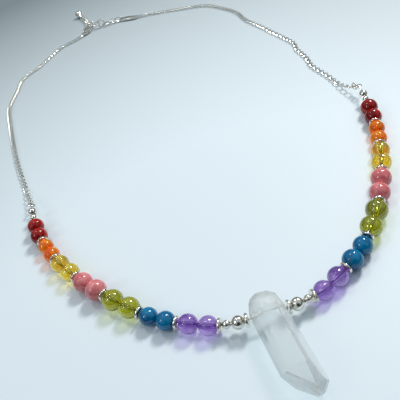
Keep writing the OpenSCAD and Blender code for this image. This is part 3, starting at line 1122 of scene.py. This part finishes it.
@dataclass
class JumpRings:
    """The round wire rings, each with the fine cut where it was closed."""

    frame: dict
    silver: bpy.types.Material
    nodes: tuple[str, ...] = (
        "jump_ring_left", "jump_ring_right_1", "jump_ring_right_2", "jump_ring_clasp", "jump_ring_extender",
    )
    stations: int = 56
    sides: int = 14
    cut: float = math.radians(1.6)
    first_cut: float = 2.1

    def build(self) -> None:
        """Makes and dresses every ring."""
        for number, node in enumerate(self.nodes):
            points = np.concatenate(islands(self.frame["nodes"][node]))
            middle, axes = principal_frame(points)
            normal = axes[:, 2]
            offsets = points - np.array(middle)
            wire = float(np.ptp(offsets @ normal))
            radius = float(np.linalg.norm(offsets, axis=1).max()) - wire / 2
            mesh = self.ring(middle, axes, radius, wire, self.first_cut + number)
            settle(new_piece(node + "_wire", mesh, self.silver), node)

    def ring(
        self, middle: Vector, axes: np.ndarray, radius: float, wire: float, start: float
    ) -> bpy.types.Mesh:
        """Makes one ring.

        Args:
            middle: Its middle.
            axes: Its directions, the normal last.
            radius: To the middle of the wire.
            wire: Thickness of the wire.
            start: Angle of the cut, in radians.

        Returns:
            The mesh.
        """
        shape = bmesh.new()
        turn = Matrix(axes.tolist())
        section = [2 * math.pi * k / self.sides for k in range(self.sides)]
        rows = []
        for step in range(self.stations + 1):
            angle = start + self.cut / 2 + (2 * math.pi - self.cut) * step / self.stations
            out = Vector((math.cos(angle), math.sin(angle), 0))
            rows.append([
                shape.verts.new(middle + turn @ (
                    out * (radius + wire / 2 * math.cos(a)) + Vector((0, 0, wire / 2 * math.sin(a)))
                ))
                for a in section
            ])
        skin(shape, rows)
        shape.faces.new(rows[0])
        shape.faces.new(rows[-1][::-1])
        return finish_mesh(shape, "ring")


@dataclass
class QuartzPoint:
    """The rough-topped quartz point, cut by the same growth faces as its CAD solid.

    A face is its turn about the length and its lean toward the tip, in degrees, and its distance
    from the hole's middle. All lengths are in millimetres, until the finished shape is put in place.
    """

    finish: bpy.types.Material
    hole: Vector
    heading: float
    faces: tuple[Triple, ...] = (
        (0, 0, 4.2), (180, 0, 4.2), (62, 0, 4.3), (118, 0, 4.1), (-72, 0, 4.4), (-122, 0, 4.3),
        (-90, 44, 15.2), (-6, 22, 10.6), (-12, 50, 19.9), (10, 72, 22.6), (90, 62, 22.3), (180, 80, 23.6),
    )
    block: float = 80.0
    cut_tolerance: float = 1e-5
    dome_radius: float = 5.0
    dome_x: float = -1.95
    chips: int = 72
    chip_depth: float = 0.4
    chip_rhythm: float = 2.7
    smallest: float = 0.02
    edge: float = 0.1
    edge_profile: float = 0.6
    sharp_angle: float = math.radians(12)
    bore: float = 1.3
    drill_length: float = 24.0
    drill_core: float = 0.001
    drill_sides: int = 32

    def cut(self, shape: bmesh.types.BMesh, normal: Vector, distance: float) -> None:
        """Takes off what lies beyond a plane.

        Args:
            shape: The solid, in millimetres, with the hole's middle at the origin and the tip toward +X.
            normal: The plane's outward normal.
            distance: Its distance from the origin.
        """
        result = bmesh.ops.bisect_plane(
            shape,
            geom=shape.verts[:] + shape.edges[:] + shape.faces[:],
            plane_co=normal * distance,
            plane_no=normal,
            clear_outer=True,
            dist=self.cut_tolerance,
        )
        edges = [item for item in result["geom_cut"] if isinstance(item, bmesh.types.BMEdge)]
        if edges:
            bmesh.ops.contextual_create(shape, geom=edges)

    def build(self) -> None:
        """Makes and dresses the point."""
        shape = bmesh.new()
        bmesh.ops.create_cube(shape, size=self.block)
        for turn, lean, out in self.faces:
            t, a = math.radians(turn), math.radians(lean)
            normal = Vector((math.sin(a), math.sin(t) * math.cos(a), math.cos(t) * math.cos(a)))
            self.cut(shape, normal, out)
        self.chip_dome(shape)
        bmesh.ops.remove_doubles(shape, verts=shape.verts, dist=self.smallest)
        bmesh.ops.dissolve_degenerate(shape, edges=shape.edges, dist=self.smallest)
        bmesh.ops.bevel(shape, geom=shape.edges[:], offset=self.edge, profile=self.edge_profile, **ROUNDING)
        place = Matrix.Translation(self.hole) @ Matrix.Rotation(self.heading, 4, "Z") @ Matrix.Scale(MM, 4)
        bmesh.ops.transform(shape, matrix=place, verts=shape.verts)
        mesh = finish_mesh(shape, "quartz_point", self.sharp_angle)
        body = new_piece("quartz_point_body", mesh, self.finish)
        piece = new_piece("quartz_point_crystal", self.drilled(body), self.finish)
        bpy.data.objects.remove(body)
        settle(piece, "quartz_point")

    def chip_dome(self, shape: bmesh.types.BMesh) -> None:
        """Chips the rounded top with many small flat breaks, spread evenly by the golden angle.

        Args:
            shape: The solid.
        """
        centre = Vector((self.dome_x, 0, 0))
        for k in range(self.chips):
            depth = 1 - (k + 0.5) / self.chips
            ring = math.sqrt(1 - depth * depth)
            angle = k * GOLDEN_ANGLE
            normal = Vector((-depth, ring * math.cos(angle), ring * math.sin(angle)))
            wobble = self.chip_depth * math.sin(k * self.chip_rhythm) - self.chip_depth
            self.cut(shape, normal, centre.dot(normal) + self.dome_radius + wobble)

    def drilled(self, body: bpy.types.Object) -> bpy.types.Mesh:
        """Drills the hole from side to side.

        Args:
            body: The solid point.

        Returns:
            The drilled mesh.
        """
        half, core, wall = self.drill_length / 2 * MM, self.drill_core * MM, self.bore / 2 * MM
        outline = [(-half, core), (-half, wall), (half, wall), (half, core)]
        shape = lathe(outline, self.hole, Vector((1, 0, 0)), self.drill_sides)
        drill = new_object("drill", finish_mesh(shape, "drill"))
        modifier = body.modifiers.new("hole", "BOOLEAN")
        modifier.operation = "DIFFERENCE"
        modifier.solver = "EXACT"
        modifier.object = drill
        mesh = baked(body)
        bpy.data.objects.remove(drill)
        mesh.set_sharp_from_angle(angle=self.sharp_angle)
        return mesh


@dataclass
class PlainMetal:
    """The CAD solids whose shape already is right: a merged copy of each, some with softened edges."""

    frame: dict
    silver: bpy.types.Material
    nodes: tuple[str, ...] = ("bead_wire", "clasp_body", "clasp_lever", "connector", "end_charm")
    softened: tuple[str, ...] = ("clasp_body", "clasp_lever", "connector")
    lever: str = "clasp_lever"
    edge: float = 0.06 * MM
    edge_profile: float = 0.5
    bend: float = math.radians(40)
    flat: float = math.radians(1)

    def build(self) -> None:
        """Makes and dresses the pieces."""
        for name in self.nodes:
            shape = merged_copy(self.frame["nodes"][name])
            if name in self.softened:
                self.soften(shape)
            piece = new_piece(name + "_metal", finish_mesh(shape, name), self.silver)
            settle(piece, name, body=LEVER_BODY if name == self.lever else BODY)

    def soften(self, shape: bmesh.types.BMesh) -> None:
        """Rounds the outward edges of a solid a little.

        Args:
            shape: The solid, merged.
        """
        bmesh.ops.dissolve_limit(shape, angle_limit=self.flat, verts=shape.verts, edges=shape.edges)
        edges = [
            edge for edge in shape.edges
            if edge.is_manifold and edge.is_convex and edge.calc_face_angle() > self.bend
        ]
        bmesh.ops.bevel(shape, geom=edges, offset=self.edge, profile=self.edge_profile, **ROUNDING)


# ---- Stage, light and camera ----


@dataclass(frozen=True)
class Lamp:
    """One soft light, with its direction in degrees and its power in watts."""

    name: str
    heading: float
    elevation: float
    distance: float
    size: Pair
    power: float
    colour: Colour = (1.0, 1.0, 1.0)


@dataclass
class Studio:
    """The table, the lamps and the room that metal mirrors."""

    aim: Vector
    table: TableFinish = TableFinish()
    table_half: float = 1.6
    lamps: tuple[Lamp, ...] = (
        Lamp("key", 37, 48, 0.75, (0.16, 0.16), 3.6, (1.0, 0.985, 0.96)),
        Lamp("top", 120, 66, 0.8, (0.08, 0.08), 0.6),
        Lamp("side", 200, 40, 0.8, (0.05, 0.3), 0.7, (0.95, 0.98, 1.0)),
    )
    sky: Colour = (0.80, 0.90, 0.97)
    sky_strength: float = 0.56
    sky_step: Pair = (0.15, 0.55)
    skirting: Colour = (0.05, 0.06, 0.07)
    photographer: Vector = Vector((0.02, -0.83, 0.55))
    patch_step: Pair = (0.96, 0.8)

    def build(self) -> None:
        """Makes the stage."""
        self.build_table()
        self.build_sky()
        for lamp in self.lamps:
            self.build_lamp(lamp)

    def build_table(self) -> None:
        """Makes the table."""
        shape = bmesh.new()
        bmesh.ops.create_grid(shape, x_segments=1, y_segments=1, size=self.table_half)
        table = new_piece("table", finish_mesh(shape, "table"), self.table.material())

    def build_sky(self) -> None:
        """Makes a pale room that polished metal mirrors, dark low down and where the photographer stands."""
        world = bpy.data.worlds.new("room")
        world.use_nodes = True
        bpy.context.scene.world = world
        graph = Graph(world.node_tree)
        background = world.node_tree.nodes["Background"]
        way = graph.add("ShaderNodeTexCoord").outputs["Generated"]
        up = graph.add("ShaderNodeSeparateXYZ", Vector=way).outputs[2]
        pale = graph.ramp(up, *self.sky_step)
        toward = graph.add("ShaderNodeVectorMath", {"operation": "DOT_PRODUCT"}, way, self.photographer)
        clear = graph.ramp(toward.outputs["Value"], *self.patch_step)
        colour = graph.mix(graph.math("MULTIPLY", pale, clear), self.skirting, self.sky)
        graph.fill(background, Color=colour, Strength=self.sky_strength)

    def build_lamp(self, lamp: Lamp) -> None:
        """Makes one light.

        Args:
            lamp: What it is.
        """
        data = bpy.data.lights.new(lamp.name, "AREA")
        data.shape = "RECTANGLE"
        data.size, data.size_y = lamp.size
        data.energy = lamp.power
        data.color = lamp.colour
        light = new_object(lamp.name, data)
        heading, elevation = math.radians(lamp.heading), math.radians(lamp.elevation)
        flat = math.cos(elevation)
        way = Vector((flat * math.cos(heading), flat * math.sin(heading), math.sin(elevation)))
        light.location = self.aim + way * lamp.distance
        light.rotation_euler = (-way).to_track_quat("-Z", "Y").to_euler()


@dataclass(frozen=True)
class PhotoCamera:
    """The camera that was fitted to the round stones of the photograph."""

    place: Vector
    dip: float = math.radians(40.99)
    roll: float = math.radians(-18.56)
    focal_share: float = 500.6 / 400
    sensor: float = 36.0
    nearest: float = 0.01

    def build(self) -> None:
        """Makes the camera."""
        forward = Vector((0, math.cos(self.dip), -math.sin(self.dip)))
        level = Vector((1, 0, 0))
        rise = level.cross(forward)
        right = level * math.cos(self.roll) + rise * math.sin(self.roll)
        up = rise * math.cos(self.roll) - level * math.sin(self.roll)
        data = bpy.data.cameras.new("photo_camera")
        data.sensor_width = self.sensor
        data.lens = self.focal_share * self.sensor
        data.clip_start = self.nearest
        camera = new_object("photo_camera", data)
        turn = Matrix((right, up, -forward)).transposed()
        camera.matrix_world = Matrix.Translation(self.place) @ turn.to_4x4()
        bpy.context.scene.camera = camera


def main() -> None:
    """Builds the necklace's looks, piece by piece."""
    logging.basicConfig(level=logging.INFO, format="%(message)s")
    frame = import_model()
    bpy.context.scene.view_settings.view_transform = "Standard"
    effects = Effects()
    silver = SilverFinish().material(effects)
    stones = {stone: finish.material(effects) for stone, finish in STONE_FINISHES.items()}
    quartz = CrystalFinish(QUARTZ_HOLE, QUARTZ_HEADING).material(effects)
    PhotoCamera(CAMERA_PLACE).build()
    Studio(LAMP_AIM).build()
    QuartzPoint(quartz, QUARTZ_HOLE, QUARTZ_HEADING).build()
    BeadString(frame, silver, stones).build()
    JumpRings(frame, silver).build()
    Chains(frame, silver).build()
    PlainMetal(frame, silver).build()


if __name__ == "__main__":
    main()
